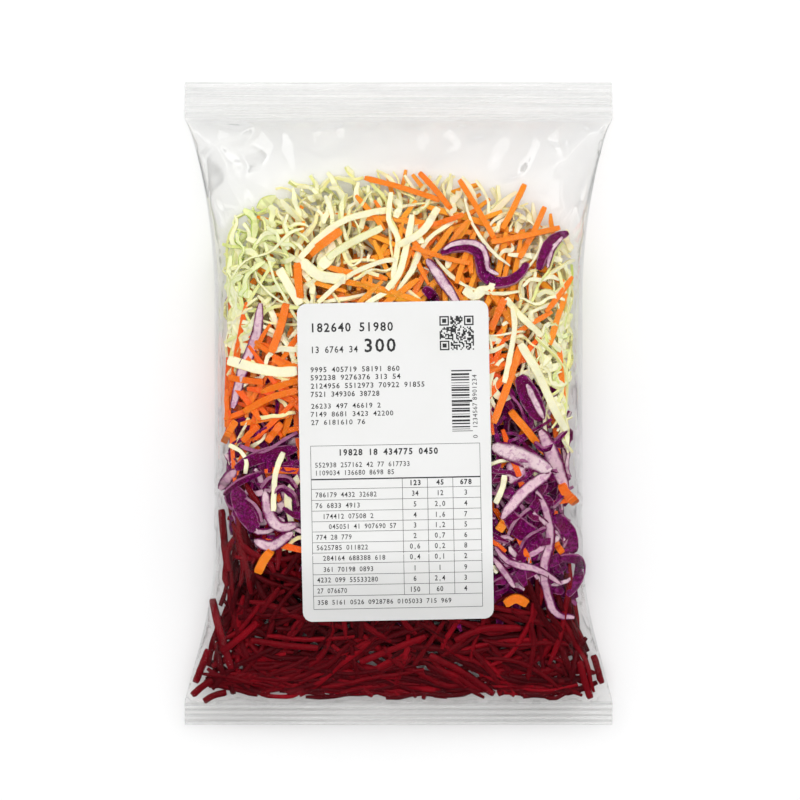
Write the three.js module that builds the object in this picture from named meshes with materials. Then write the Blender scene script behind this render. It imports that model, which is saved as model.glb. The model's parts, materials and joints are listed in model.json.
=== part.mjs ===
// A sealed pillow bag of shredded salad with a paper label, lying on its back with the label up.
// Millimetres. +Z is up and +Y runs to the wide top seal. The origin is on the floor under the middle of the bag.
import * as THREE from "three";

// The bag
const BAG_LENGTH = 300; // over both seals
const FLAT_WIDTH = 200; // of the empty film, which is also the width of the seals
const FILL_HEIGHT = 40; // where the bag is thickest
const SIDE_PULL = 14.2; // how far each side is drawn in where the bag is thickest
const TOP_SEAL = 17.5; // length of the crimped band
const BOTTOM_SEAL = 10.5;
const TOP_RISE = 85; // length over which the bag swells from the seal to its full height
const BOTTOM_RISE = 75;
const SIDE_LEVEL = 0.45; // height of the side folds, as a share of the bag's height

// The seals
const SEAL_THICKNESS = 1;
const TOP_LIFT = 9; // height of the seal above the floor at its inner edge
const BOTTOM_LIFT = 11;
const SEAL_DROOP = 3; // how far the outer edge hangs below the inner one
const SEAL_WAVE = 1.1; // gentle wave along the outer edge
const WAVE_LENGTH = 135;
const RIB_HEIGHT = 0.35;
const TOP_RIBS = 6;
const BOTTOM_RIBS = 4;

// The label
const LABEL_WIDTH = 88.5;
const LABEL_LENGTH = 147.5;
const LABEL_CORNER = 4.5;
const LABEL_CENTRE = new THREE.Vector2(-1.4, -26.8);
const LABEL_TURN = THREE.MathUtils.degToRad(1.1);
const LABEL_THICKNESS = 0.5;
const LABEL_GAP = 0.3;

// The mesh
const BODY_STATIONS = 46;
const FACE_STRIPS = 32; // across the front, and again across the back
const LABEL_COLUMNS = 16;
const LABEL_ROWS = 26;

const TOP_INNER = BAG_LENGTH / 2 - TOP_SEAL;
const BOTTOM_INNER = -BAG_LENGTH / 2 + BOTTOM_SEAL;
const FRONT = 1;
const BACK = -1;

// Tension folds of the film: from a point, to a point, height (a valley is negative) and half width.
const FOLDS = [
  { from: [-97, 131], to: [-58, 84], height: 2.6, width: 5 },
  { from: [-90, 131], to: [-36, 104], height: 1.8, width: 4.5 },
  { from: [-94, 112], to: [-70, 70], height: -2.2, width: 5 },
  { from: [-89, 92], to: [-66, 76], height: 1.8, width: 5 },
  { from: [97, 131], to: [38, 90], height: 2.8, width: 5.5 },
  { from: [95, 124], to: [74, 66], height: -2.2, width: 5 },
  { from: [90, 98], to: [72, 80], height: 1.6, width: 5 },
  { from: [-30, 133], to: [-20, 100], height: 1.4, width: 4 },
  { from: [12, 133], to: [22, 108], height: -1.3, width: 4 },
  { from: [34, 133], to: [36, 112], height: 1.3, width: 4 },
  { from: [-97, -138], to: [-66, -100], height: 2, width: 5 },
  { from: [-60, -140], to: [-48, -112], height: 1.2, width: 5 },
  { from: [14, -140], to: [10, -114], height: -1.2, width: 5 },
  { from: [97, -138], to: [64, -98], height: 2, width: 5 },
];

// Waves that the packed shreds press into the film: direction across the bag, wavelength and height.
const HEAP_WAVES = [
  { angle: 0.35, length: 31, height: 0.5 },
  { angle: 1.45, length: 23, height: 0.5 },
  { angle: 2.3, length: 18, height: 0.4 },
];

const { clamp, lerp, smoothstep } = THREE.MathUtils;

const swell = (along, power) => Math.sin((Math.PI / 2) * clamp(along, 0, 1)) ** power;

// 0 at both seals and 1 along the full middle of the bag.
function fill(y) {
  return swell((TOP_INNER - y) / TOP_RISE, 0.75) * swell((y - BOTTOM_INNER) / BOTTOM_RISE, 1.1);
}

// Height of the bag's underside: on the floor along the middle, raised to the seals at both ends.
function underside(x, y) {
  const lift = y > 0 ? TOP_LIFT : BOTTOM_LIFT;
  const past = y > 0 ? (y - TOP_INNER) / TOP_SEAL : (BOTTOM_INNER - y) / BOTTOM_SEAL;
  const wave = SEAL_WAVE * Math.sin((2 * Math.PI * x) / WAVE_LENGTH + (y > 0 ? 0.6 : 2));
  const hang = clamp(past, 0, 1) * (wave - SEAL_DROOP);
  return lift * Math.max(0, 1 - fill(y) / 0.8) ** 1.5 + hang;
}

// The ribs that the sealing jaws press into both faces of a seal.
function ribs(y) {
  const past = y > 0 ? (y - TOP_INNER) / TOP_SEAL : (BOTTOM_INNER - y) / BOTTOM_SEAL;
  if (past <= 0) return 0;
  const count = y > 0 ? TOP_RIBS : BOTTOM_RIBS;
  return RIB_HEIGHT * Math.sin(2 * Math.PI * count * past + Math.PI / 2) - RIB_HEIGHT;
}

function fold({ from, to, height, width }, x, y) {
  const run = new THREE.Vector2(to[0] - from[0], to[1] - from[1]);
  const reach = new THREE.Vector2(x - from[0], y - from[1]);
  const along = reach.dot(run) / run.lengthSq();
  if (along <= 0 || along >= 1) return 0;
  const off = run.cross(reach) / run.length() / width;
  return height * Math.sin(Math.PI * along) * Math.exp(-off * off);
}

// 1 under the label, which holds the film smooth, and 0 well away from it.
function underLabel(x, y) {
  const p = new THREE.Vector2(x, y).sub(LABEL_CENTRE).rotateAround(new THREE.Vector2(), -LABEL_TURN);
  const beyond = Math.max(Math.abs(p.x) - LABEL_WIDTH / 2, Math.abs(p.y) - LABEL_LENGTH / 2);
  return 1 - smoothstep(beyond, 2, 12);
}

function relief(x, y) {
  const heap = HEAP_WAVES.reduce((sum, { angle, length, height }) => {
    const across = x * Math.cos(angle) + y * Math.sin(angle);
    return sum + height * Math.sin((2 * Math.PI * across) / length);
  }, 0);
  const folds = FOLDS.reduce((sum, one) => sum + fold(one, x, y), 0);
  return (heap * fill(y) + folds) * (1 - underLabel(x, y));
}

// Half the bag's width at y.
const halfWidth = (y) => FLAT_WIDTH / 2 - SIDE_PULL * fill(y);

// Height of the film on one face at (share of the half width, y).
function filmHeight(face, share, y) {
  const full = fill(y);
  const x = share * halfWidth(y);
  const thickness = lerp(SEAL_THICKNESS, FILL_HEIGHT, full);
  const low = underside(x, y) + ribs(y);
  const side = low + SIDE_LEVEL * thickness;
  const roundness = lerp(8, face === FRONT ? 2.4 : 3.5, Math.min(1, full * 2.5));
  const dome = Math.max(0, 1 - Math.abs(share) ** roundness) ** (1 / roundness);
  if (face === FRONT) {
    const calm = smoothstep(dome, 0.25, 0.75) * smoothstep(full, 0, 0.25);
    return side + (1 - SIDE_LEVEL) * thickness * dome + calm * relief(x, y);
  }
  const squashed = SIDE_LEVEL * thickness + 0.8 * full;
  return Math.max(low, side - squashed * dome);
}

// The y of every ring of points, from the bottom edge to the top edge.
function stations() {
  const list = [];
  const steps = BODY_STATIONS;
  for (let i = 0; i < 2 * BOTTOM_RIBS; i++) {
    list.push(lerp(-BAG_LENGTH / 2, BOTTOM_INNER, i / (2 * BOTTOM_RIBS)));
  }
  for (let i = 0; i <= steps; i++) {
    const even = i / steps;
    const eased = (1 - Math.cos(Math.PI * even)) / 2;
    list.push(lerp(BOTTOM_INNER, TOP_INNER, (even + eased) / 2));
  }
  for (let i = 1; i <= 2 * TOP_RIBS; i++) {
    list.push(lerp(TOP_INNER, BAG_LENGTH / 2, i / (2 * TOP_RIBS)));
  }
  return list;
}

// Closes a list of equal rings of points into one solid. Each ring starts at one side fold.
function loft(rings) {
  const around = rings[0].length;
  const half = around / 2;
  const index = [];
  for (let r = 0; r + 1 < rings.length; r++) {
    for (let i = 0; i < around; i++) {
      const a = r * around + i;
      const b = r * around + ((i + 1) % around);
      index.push(a, b + around, b, a, a + around, b + around);
    }
  }
  const last = (rings.length - 1) * around;
  const endFaces = (a, b, c) => index.push(a, b, c, last + a, last + c, last + b);
  for (let i = 0; i < half; i++) {
    const across = around - i - 1;
    if (i + 1 < half) endFaces(i, i + 1, across);
    if (i > 0) endFaces(i, across, across + 1);
  }
  const geometry = new THREE.BufferGeometry();
  geometry.setAttribute("position", new THREE.Float32BufferAttribute(rings.flat(2), 3));
  geometry.setIndex(index);
  geometry.computeVertexNormals();
  return geometry;
}

// Points across one face from one side fold to the other, closer together at the sides.
const shares = Array.from({ length: FACE_STRIPS + 1 }, (_, i) =>
  Math.sin((Math.PI / 2) * ((2 * i) / FACE_STRIPS - 1)),
);

function bagGeometry() {
  const rings = stations().map((y) => {
    const point = (face) => (share) => [share * halfWidth(y), y, filmHeight(face, share, y)];
    const back = shares.slice(0, -1).map(point(BACK));
    const front = shares.slice(1).reverse().map(point(FRONT));
    return [...back, ...front];
  });
  return loft(rings);
}

// Half the label's width at a distance from its middle: its corners are quarter circles.
function labelHalfWidth(y) {
  const into = Math.max(0, Math.abs(y) - (LABEL_LENGTH / 2 - LABEL_CORNER));
  return LABEL_WIDTH / 2 - LABEL_CORNER + Math.sqrt(Math.max(0, LABEL_CORNER ** 2 - into ** 2));
}

// The rows are closer together at the rounded ends.
function labelRows() {
  const straight = LABEL_LENGTH / 2 - LABEL_CORNER;
  const arc = [0.35, 0.65, 0.87, 0.99].map((share) => straight + LABEL_CORNER * share);
  const rows = Array.from({ length: LABEL_ROWS + 1 }, (_, i) => lerp(-straight, straight, i / LABEL_ROWS));
  return [...arc.map((y) => -y).reverse(), ...rows, ...arc];
}

function labelGeometry() {
  const rings = labelRows().map((v) => {
    const half = labelHalfWidth(v);
    const layer = (rise) =>
      Array.from({ length: LABEL_COLUMNS + 1 }, (_, i) => {
        const p = new THREE.Vector2(lerp(-half, half, i / LABEL_COLUMNS), v)
          .rotateAround(new THREE.Vector2(), LABEL_TURN)
          .add(LABEL_CENTRE);
        const film = filmHeight(FRONT, p.x / halfWidth(p.y), p.y);
        return [p.x, p.y, film + rise];
      });
    return [...layer(LABEL_GAP), ...layer(LABEL_GAP + LABEL_THICKNESS).reverse()];
  });
  return loft(rings);
}

const film = new THREE.MeshStandardMaterial({
  color: 0xe6e3dc,
  roughness: 0.18,
  metalness: 0,
  transparent: true,
  opacity: 0.55,
});
const paper = new THREE.MeshStandardMaterial({ color: 0xf4f4f3, roughness: 0.6, metalness: 0 });

function named(name, geometry, material) {
  const mesh = new THREE.Mesh(geometry, material);
  mesh.name = name;
  return mesh;
}

const pack = new THREE.Group();
pack.add(named("bag", bagGeometry(), film));
pack.add(named("label", labelGeometry(), paper));

export default pack;
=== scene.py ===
import json
import math

import bmesh
import bpy
import numpy as np
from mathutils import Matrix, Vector
from mathutils.bvhtree import BVHTree
from mathutils.geometry import delaunay_2d_cdt

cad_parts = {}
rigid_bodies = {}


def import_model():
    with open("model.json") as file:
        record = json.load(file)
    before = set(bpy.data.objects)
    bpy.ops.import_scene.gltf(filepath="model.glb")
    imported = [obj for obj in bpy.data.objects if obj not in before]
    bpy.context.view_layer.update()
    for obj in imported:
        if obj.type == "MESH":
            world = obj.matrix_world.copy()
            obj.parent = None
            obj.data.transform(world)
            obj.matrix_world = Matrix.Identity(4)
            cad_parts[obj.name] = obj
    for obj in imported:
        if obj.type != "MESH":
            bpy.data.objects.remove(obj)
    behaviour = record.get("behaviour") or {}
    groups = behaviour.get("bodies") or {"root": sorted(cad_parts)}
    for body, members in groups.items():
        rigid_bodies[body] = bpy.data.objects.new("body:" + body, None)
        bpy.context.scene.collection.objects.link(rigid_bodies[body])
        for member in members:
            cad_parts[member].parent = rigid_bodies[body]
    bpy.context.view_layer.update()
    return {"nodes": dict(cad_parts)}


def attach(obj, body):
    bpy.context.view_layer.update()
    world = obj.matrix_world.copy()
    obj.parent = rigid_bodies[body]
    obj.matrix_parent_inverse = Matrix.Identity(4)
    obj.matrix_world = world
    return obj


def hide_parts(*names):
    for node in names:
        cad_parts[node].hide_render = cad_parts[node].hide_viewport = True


# A clear sealed bag of shredded salad with a white label, lying on its back.
# Tables of sizes and places are in millimetres, and meshes are made in metres.
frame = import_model()

MM = 0.001
rng = np.random.default_rng(1207)


# Node trees

def math_operator(operation, swapped=False):
    """An operator of Socket that adds a Math node."""
    def apply(self, *others):
        return self.graph.maths(operation, *((*others, self) if swapped else (self, *others)))
    return apply


class Socket:
    """An output in a node tree, which can be used in a sum like a number."""

    def __init__(self, graph, source):
        self.graph = graph
        self.source = source

    __add__ = math_operator("ADD")
    __radd__ = math_operator("ADD", swapped=True)
    __sub__ = math_operator("SUBTRACT")
    __rsub__ = math_operator("SUBTRACT", swapped=True)
    __mul__ = math_operator("MULTIPLY")
    __rmul__ = math_operator("MULTIPLY", swapped=True)
    __pow__ = math_operator("POWER")
    __abs__ = math_operator("ABSOLUTE")
    __gt__ = math_operator("GREATER_THAN")
    __lt__ = math_operator("LESS_THAN")


class Graph:
    """Builds a shader or geometry tree."""

    def __init__(self, tree):
        self.tree = tree

    def add(self, kind, settings=(), values=(), out=0):
        node = self.tree.nodes.new(kind)
        for key, value in dict(settings).items():
            setattr(node, key, value)
        for key, value in dict(values).items():
            if isinstance(value, Socket):
                self.tree.links.new(value.source, node.inputs[key])
            else:
                node.inputs[key].default_value = value
        return Socket(self, node.outputs[out]) if node.outputs else None

    def maths(self, operation, *values):
        return self.add("ShaderNodeMath", {"operation": operation}, dict(enumerate(values)))

    def vector(self, operation, *values, out=0):
        return self.add("ShaderNodeVectorMath", {"operation": operation}, dict(enumerate(values)), out)

    def scaled(self, vector, factor):
        return self.add("ShaderNodeVectorMath", {"operation": "SCALE"}, {0: vector, "Scale": factor})

    def blend(self, factor, first, second):
        settings = {"data_type": "RGBA", "clamp_factor": True}
        return self.add("ShaderNodeMix", settings, {0: factor, 6: first, 7: second}, 2)

    def step(self, value, low, high):
        """0 where value is below low, 1 above high, smooth between."""
        return self.add("ShaderNodeMapRange", {"interpolation_type": "SMOOTHSTEP"},
                        {"Value": value, "From Min": low, "From Max": high})

    def noise(self, vector, scale, detail=3.0, roughness=0.5, distortion=0.0):
        return self.add("ShaderNodeTexNoise", {}, {"Vector": vector, "Scale": scale, "Detail": detail,
                                                   "Roughness": roughness, "Distortion": distortion})

    def attribute(self, name):
        return self.add("ShaderNodeAttribute", {"attribute_name": name}, out="Fac")


def colour(red, green, blue):
    """A colour given as 0 to 255, as the eye sees it, for a shader socket."""
    def linear(value):
        share = value / 255
        return share / 12.92 if share <= 0.04045 else ((share + 0.055) / 1.055) ** 2.4
    return (linear(red), linear(green), linear(blue), 1.0)


def finish(name, surface):
    """A material whose surface is made by a function of its graph."""
    material = bpy.data.materials.new(name)
    material.use_nodes = True
    material.node_tree.nodes.clear()
    graph = Graph(material.node_tree)
    graph.add("ShaderNodeOutputMaterial", {}, {"Surface": surface(graph)})
    return material


def object_place(graph):
    return graph.add("ShaderNodeTexCoord", out="Object")


def bump(graph, height, distance):
    return graph.add("ShaderNodeBump", {}, {"Height": height, "Distance": distance, "Strength": 1.0})


# Meshes

def link(name, data):
    made = bpy.data.objects.new(name, data)
    bpy.context.scene.collection.objects.link(made)
    return made


def mesh_of(name, points, edges=(), faces=()):
    mesh = bpy.data.meshes.new(name)
    mesh.from_pydata([tuple(p) for p in points], list(edges), list(faces))
    mesh.update()
    return mesh


def store(mesh, name, values):
    """Keeps one number or vector for each point of a mesh."""
    values = np.asarray(values, np.float32)
    kind, field = ("FLOAT_VECTOR", "vector") if values.ndim > 1 else ("FLOAT", "value")
    mesh.attributes.new(name, kind, "POINT").data.foreach_set(field, values.ravel())


def evaluated(holder):
    """The mesh of an object as its modifiers leave it. The object is removed."""
    bpy.context.view_layer.update()
    ready = holder.evaluated_get(bpy.context.evaluated_depsgraph_get())
    mesh = bpy.data.meshes.new_from_object(ready)
    bpy.data.objects.remove(holder)
    return mesh


def run_tree(name, tree, source, settings):
    """The result of a geometry tree on a source mesh, as a plain mesh object."""
    holder = link(name + "_source", source)
    modifier = holder.modifiers.new(name, "NODES")
    modifier.node_group = tree
    for item in tree.interface.items_tree:
        if item.item_type == "SOCKET" and item.in_out == "INPUT" and item.name in settings:
            modifier[item.identifier] = settings[item.name]
    return link(name, evaluated(holder))


def new_tree(name, inputs):
    """An empty geometry tree with a geometry in and out and the named inputs."""
    tree = bpy.data.node_groups.new(name, "GeometryNodeTree")
    face = tree.interface
    face.new_socket("Source", in_out="INPUT", socket_type="NodeSocketGeometry")
    for title, kind, value in inputs:
        socket = face.new_socket(title, in_out="INPUT", socket_type="NodeSocket" + kind)
        if value is not None:
            socket.default_value = value
    face.new_socket("Result", in_out="OUTPUT", socket_type="NodeSocketGeometry")
    graph = Graph(tree)
    entry = tree.nodes.new("NodeGroupInput")
    sockets = {item.name: Socket(graph, item) for item in entry.outputs if item.name}
    return tree, graph, sockets


# The skin: the bag's CAD shape, as a merged mesh and as heights above the floor

def merged_copy(node):
    mesh = frame["nodes"][node].data.copy()
    shape = bmesh.new()
    shape.from_mesh(mesh)
    bmesh.ops.remove_doubles(shape, verts=shape.verts, dist=0.00002)
    bmesh.ops.join_triangles(shape, faces=shape.faces, angle_face_threshold=3.2, angle_shape_threshold=3.2)
    shape.to_mesh(mesh)
    shape.free()
    mesh.materials.clear()
    return mesh


def tree_of(mesh):
    points = [v.co.copy() for v in mesh.vertices]
    return BVHTree.FromPolygons(points, [tuple(p.vertices) for p in mesh.polygons])


bag_mesh = merged_copy("bag")
bag_tree = tree_of(bag_mesh)
label_tree = tree_of(merged_copy("label"))

CELL = 1.0
GRID_X = np.arange(-101.0, 102.0, CELL)
GRID_Y = np.arange(-150.0, 151.0, CELL)


def heights(tree, down):
    """Height in mm of a surface met from above or below at every cell, or nan."""
    field = np.full((len(GRID_X), len(GRID_Y)), np.nan)
    start = 1.0 if down else -1.0
    direction = Vector((0, 0, -start))
    for i, x in enumerate(GRID_X):
        for j, y in enumerate(GRID_Y):
            hit = tree.ray_cast(Vector((x * MM, y * MM, start)), direction)[0]
            if hit is not None:
                field[i, j] = hit.z / MM
    return field


skin_top = heights(bag_tree, True)
skin_bottom = heights(bag_tree, False)
skin_bottom_filled = np.where(np.isfinite(skin_bottom), skin_bottom, 0)

# Places

TOP_INNER = 132.5  # inner edges of the seals
BOTTOM_INNER = -139.5
LABEL_CENTRE = (-1.4, -26.8)
LABEL_SIZE = (88.5, 147.5)
LABEL_TURN = math.radians(1.1)
VIEW_SIZE = 800  # pixels across the view
VIEW_ORIGIN = (398.5, 403.5)  # where the bag's middle lies in it
PIXEL = 0.4651  # mm


def photo(px, py):
    """Place in mm of a point of the view."""
    return ((px - VIEW_ORIGIN[0]) * PIXEL, (VIEW_ORIGIN[1] - py) * PIXEL)


# The heap: shreds are laid one by one on what is already there

SIDE_MARGIN = 4.0  # between the shreds and the bag's side folds
FILM_GAP = 0.7  # between the shreds and the film over them
LOWEST = (0.6, 1.5)  # the heap starts this far above the lower film and the floor
SINK = {"carrot": 0.7, "beetroot": 0.9, "white_cabbage": 0.3, "red_cabbage": 0.4}  # into those below it
PRESS = {"carrot": 1.2, "beetroot": 1.3, "white_cabbage": 1.5, "red_cabbage": 1.2}  # by the film
LINE_SUPPORT = 0.85  # share of a stiff shred's length that lies clear of those below
CHOICES = 8  # places that are tried for each shred
STEEPEST = 14.0  # how much higher one end of a stiff shred may lie than the other
SAMPLES = 30  # points along a shred at which it feels the heap
LANES = np.array([-0.4, 0.0, 0.4])  # and across it, as shares of its width
# The heap's top edge, from left to right
TOP_EDGE_X = [-86, -82, -75, -64, -55, -41, -25, 0, 20, 38, 57, 68, 78, 84, 88]
TOP_EDGE_Y = [60, 76, 84, 93, 98, 102, 106, 104, 103, 99, 94, 88, 80, 66, 50]
ROOM_SHARE = 0.8  # share of a single shred's height that is kept free for it
# A shred on top may lie up to this far below the film
UNDER_FILM = {"carrot": 0.9, "beetroot": 1.8, "white_cabbage": 0.8, "red_cabbage": 1.4}
CARROT_BELOW = 0.6  # share of the white cabbage that is carrot in the lowest layer
LEAFY = ("white_cabbage", "red_cabbage")
FLAKES = 0.22  # share of the cabbage that is short broad bits of leaf
FLAKE = (0.5, 1.6, 0.65)  # their length, width and thickness against a shred's
ON_EDGE = 0.4  # share of the other cabbage shreds that stand on edge
TRIES = {"carrot": 2, "beetroot": 2, "white_cabbage": 2, "red_cabbage": 3}  # to lay a shred
BARE = 0.8  # film with less than this on it counts as bare
TOP_SPILL = 6  # shreds may reach this far past the heap's top edge
EDGE_SLOPE = 18.0  # length over which the heap rises to its full height at its top edge
LYING_BELOW = -104.0  # beetroot shreds lie more across the bag near the bottom seal
LYING_SPREAD = 0.75  # and stray from that by about this angle
STANDING_ABOVE = 66.0  # shreds point more at the top seal above this
STANDING_SPREAD = 0.5
FAN = 120.0  # distance from the middle line at which these lean outwards by one radian
NUDGE = 4.0  # how far the places that are tried for a shred lie apart
SOFTER = 0.6  # how stiff a shred is when it is pressed in under the film

# Length, width and thickness in mm, bend, wave, stiffness, points along the path, roll and twist
KINDS = {
    "carrot": {"long": (20, 58), "wide": (2.0, 3.0), "thick": (1.7, 2.3), "bend": 0.25, "wave": 0.4,
               "stiff": 0.85, "points": 7, "roll": 0.5, "twist": 0.08},
    "beetroot": {"long": (18, 50), "wide": (1.8, 2.9), "thick": (1.7, 2.5), "bend": 0.7, "wave": 1.0,
                 "stiff": 0.6, "points": 8, "roll": 0.6, "twist": 0.3},
    "white_cabbage": {"long": (16, 56), "wide": (1.1, 3.0), "thick": (0.8, 1.8), "bend": 1.8, "wave": 3.0,
                      "stiff": 0.25, "points": 13, "roll": 0.8, "twist": 0.6},
    "red_cabbage": {"long": (16, 46), "wide": (2.2, 5.4), "thick": (1.0, 1.9), "bend": 2.2, "wave": 2.4,
                    "stiff": 0.35, "points": 12, "roll": 0.8, "twist": 0.5},
}


def heap_room():
    """Which cells may hold shreds, and how high these may reach there."""
    x, y = np.meshgrid(GRID_X, GRID_Y, indexing="ij")
    inside = np.isfinite(skin_top) & np.isfinite(skin_bottom)
    half = inside.sum(0) * CELL / 2
    edge = np.interp(x, TOP_EDGE_X, TOP_EDGE_Y)
    allowed = inside & (np.abs(x) < half[None, :] - SIDE_MARGIN) & (y < edge + TOP_SPILL)
    allowed &= y > BOTTOM_INNER + 1
    low = np.maximum(np.where(inside, skin_bottom, 0) + LOWEST[0], LOWEST[1])
    high = np.where(inside, skin_top, 0) - FILM_GAP
    share = np.clip((edge + TOP_SPILL - y) / EDGE_SLOPE, 0.25, 1.0)
    return allowed, low, low + (high - low) * share, high


allowed, heap_top, heap_limit, film_limit = heap_room()
heap_floor = heap_top.copy()


def cells(points):
    i = np.clip(np.rint((points[..., 0] - GRID_X[0]) / CELL).astype(int), 0, len(GRID_X) - 1)
    j = np.clip(np.rint((points[..., 1] - GRID_Y[0]) / CELL).astype(int), 0, len(GRID_Y) - 1)
    return i, j


def lengths_along(points):
    steps = np.linalg.norm(np.diff(points, axis=0), axis=1)
    return np.concatenate([[0], np.cumsum(steps)])


def turned_size(wide, thick, roll):
    """Width and height of a bar's section once it is rolled about its length."""
    side, rise = abs(math.cos(roll)), abs(math.sin(roll))
    return wide * side + thick * rise, thick * side + wide * rise


def rest_on_heap(kind, paths, wide, stiffness):
    """Where shreds come to rest that follow these paths of even steps: their cells and undersides."""
    spread = np.linspace(0, paths.shape[1] - 1, SAMPLES)
    first = np.minimum(spread.astype(int), paths.shape[1] - 2)
    part = (spread - first)[:, None]
    fine = paths[:, first] * (1 - part) + paths[:, first + 1] * part
    run = np.gradient(fine, axis=1)
    run /= np.linalg.norm(run, axis=2, keepdims=True) + 1e-9
    across = np.stack([-run[..., 1], run[..., 0]], axis=-1)
    i, j = cells(fine[:, :, None, :] + across[:, :, None, :] * (LANES * wide)[None, None, :, None])
    under = heap_top[i, j].max(axis=2)
    at = np.linspace(-0.5, 0.5, SAMPLES)
    line = np.clip((at * under).sum(axis=1) / (at ** 2).sum(), -STEEPEST, STEEPEST)[:, None] * at
    line += np.quantile(under - line, LINE_SUPPORT, axis=1)[:, None]
    drape = under
    for _ in range(3):
        padded = np.pad(drape, ((0, 0), (2, 2)), "edge")
        drape = np.maximum(under, sum(padded[:, k:k + SAMPLES] for k in range(5)) / 5)
    return i, j, stiffness * line + (1 - stiffness) * drape - SINK[kind]


def stamp(i, j, z, thick):
    heap_top[i, j] = np.maximum(heap_top[i, j], (z + thick)[:, None])


def along_path(z, count):
    return np.interp(np.linspace(0, SAMPLES - 1, count), np.arange(SAMPLES), z)


def lay_best(kind, paths, wide, thick, press):
    """Lays the path that comes to rest lowest under the limit, and returns it with its heights, or None."""
    i, j, z = rest_on_heap(kind, paths, wide, KINDS[kind]["stiff"])
    limit = heap_limit[i, j].min(axis=2) - thick - rng.uniform(0, UNDER_FILM[kind])
    over = (z - limit).max(axis=1) + np.where(allowed[i, j].all(axis=(1, 2)), 0, 1e3)
    best = int(over.argmin())
    if over[best] > press:
        return None
    rest = np.maximum(np.minimum(z[best], limit[best]), heap_floor[i[best], j[best]].max(axis=1))
    stamp(i[best], j[best], rest, thick)
    return paths[best], along_path(rest, paths.shape[1]) + thick / 2


def lay_here(kind, path, wide, thick):
    """Lays a shred exactly here, pressed down under the film where it must be."""
    i, j, z = rest_on_heap(kind, path[None], wide, KINDS[kind]["stiff"] * SOFTER)
    z = np.minimum(z[0], film_limit[i[0], j[0]].min(axis=1) - thick)
    z = np.maximum(z, heap_floor[i[0], j[0]].max(axis=1))
    stamp(i[0], j[0], z, thick)
    return along_path(z, len(path)) + thick / 2


# Shares of each kind, in the order carrot, white cabbage, red cabbage, beetroot
BEETROOT_ZONE = (0.0, 0.0, 0.004, 0.996)
RED_ZONE = (0.03, 0.02, 0.94, 0.01)
LEAFY_LEFT = (0.04, 0.95, 0.01, 0.0)
LEAFY_RIGHT = (0.16, 0.83, 0.01, 0.0)
TOP_LEFT = (0.2, 0.8, 0.0, 0.0)
TOP_RIGHT = (0.88, 0.12, 0.0, 0.0)
LOOSE_EDGE = (0.3, 0.7, 0.0, 0.0)
ABOVE_LABEL = (0.8, 0.2, 0.0, 0.0)
LEFT_OF_LABEL = (0.92, 0.08, 0.0, 0.0)
RIGHT_OF_LABEL = (0.56, 0.44, 0.0, 0.0)
ORDER = ("carrot", "white_cabbage", "red_cabbage", "beetroot")
# The upper borders of the beetroot and of the red cabbage, from left to right
BEETROOT_TOP = ([-87, -76, -60, -30, 0, 45, 60, 87], [-34, -50, -64, -70, -78, -90, -93, -92])
RED_TOP = ([-87, -46, 0, 45, 60, 70, 87], [-15, -12, -4, 5, 12, -6, -20])
FAR = 1000
# Above those borders the first zone that holds a place counts: its left, right, low and high ends, and shares
ZONES = [
    (-FAR, -46, 22, FAR, LEAFY_LEFT), (58, FAR, -FAR, 72, LEAFY_RIGHT), (-FAR, -44, -FAR, FAR, LEFT_OF_LABEL),
    (43, FAR, -FAR, 50, RIGHT_OF_LABEL), (-FAR, FAR, -FAR, 68, ABOVE_LABEL), (-FAR, -14, -FAR, FAR, TOP_LEFT),
    (-FAR, FAR, 87, FAR, LOOSE_EDGE), (-FAR, FAR, -FAR, FAR, TOP_RIGHT),
]
BORDER_BLUR = 4.0  # how far the kinds mix across a border
CARROT_REACH = (62, 80)  # where the lowest layer has carrot for white cabbage: half width, and top


def shares_at(x, y):
    """Shares of the kinds that lie at this place."""
    if y < np.interp(x, *BEETROOT_TOP):
        return BEETROOT_ZONE
    if y < np.interp(x, *RED_TOP):
        return RED_ZONE
    return next(shares for left, right, low, high, shares in ZONES if left < x < right and low < y < high)


def kind_at(x, y, bare):
    """The kind to lay at this place: on bare film, carrot mostly stands in for white cabbage."""
    shares = shares_at(x + rng.normal(0, BORDER_BLUR), y + rng.normal(0, BORDER_BLUR))
    kind = ORDER[int(np.searchsorted(np.cumsum(shares), rng.random() * sum(shares)))]
    inner = abs(x) < CARROT_REACH[0] and y < CARROT_REACH[1]
    return "carrot" if bare and inner and kind == "white_cabbage" and rng.random() < CARROT_BELOW else kind


def loose_paths(kind, x, y, share):
    """Bent and waving paths in the plane, about a place, with a share of the kind's full length."""
    facts = KINDS[kind]
    count = facts["points"]
    dice = rng.random((CHOICES, 4, 1))
    at = np.linspace(-0.5, 0.5, count)[None, :]
    start = dice[:, 0] * 2 * math.pi
    if kind == "beetroot" and y < LYING_BELOW:
        start = rng.normal(0, LYING_SPREAD, (CHOICES, 1))
    if y > STANDING_ABOVE:
        start = math.pi / 2 - x / FAN + rng.normal(0, STANDING_SPREAD, (CHOICES, 1))
    bend = rng.normal(0, facts["bend"] / 1.5, (CHOICES, 1))
    swing = rng.normal(0, 0.12 * facts["wave"], (CHOICES, 1))
    heading = start + bend * at + swing * np.sin(2 * math.pi * (at * (1 + dice[:, 1]) + dice[:, 2]))
    step = rng.uniform(*facts["long"]) * share / (count - 1)
    steps = np.stack([np.cos(heading), np.sin(heading)], axis=2) * step
    points = np.cumsum(steps, axis=1)
    shift = rng.normal(0, NUDGE, (CHOICES, 1, 2))
    return points - points.mean(axis=1, keepdims=True) + (x, y) + shift


shreds = {kind: [] for kind in KINDS}


def keep(kind, path, z, wide, thick, roll, tone):
    """Notes a laid shred: its path, and its widths at each point."""
    shreds[kind].append((np.column_stack([path, z]), wide, thick, roll, tone))


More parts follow.
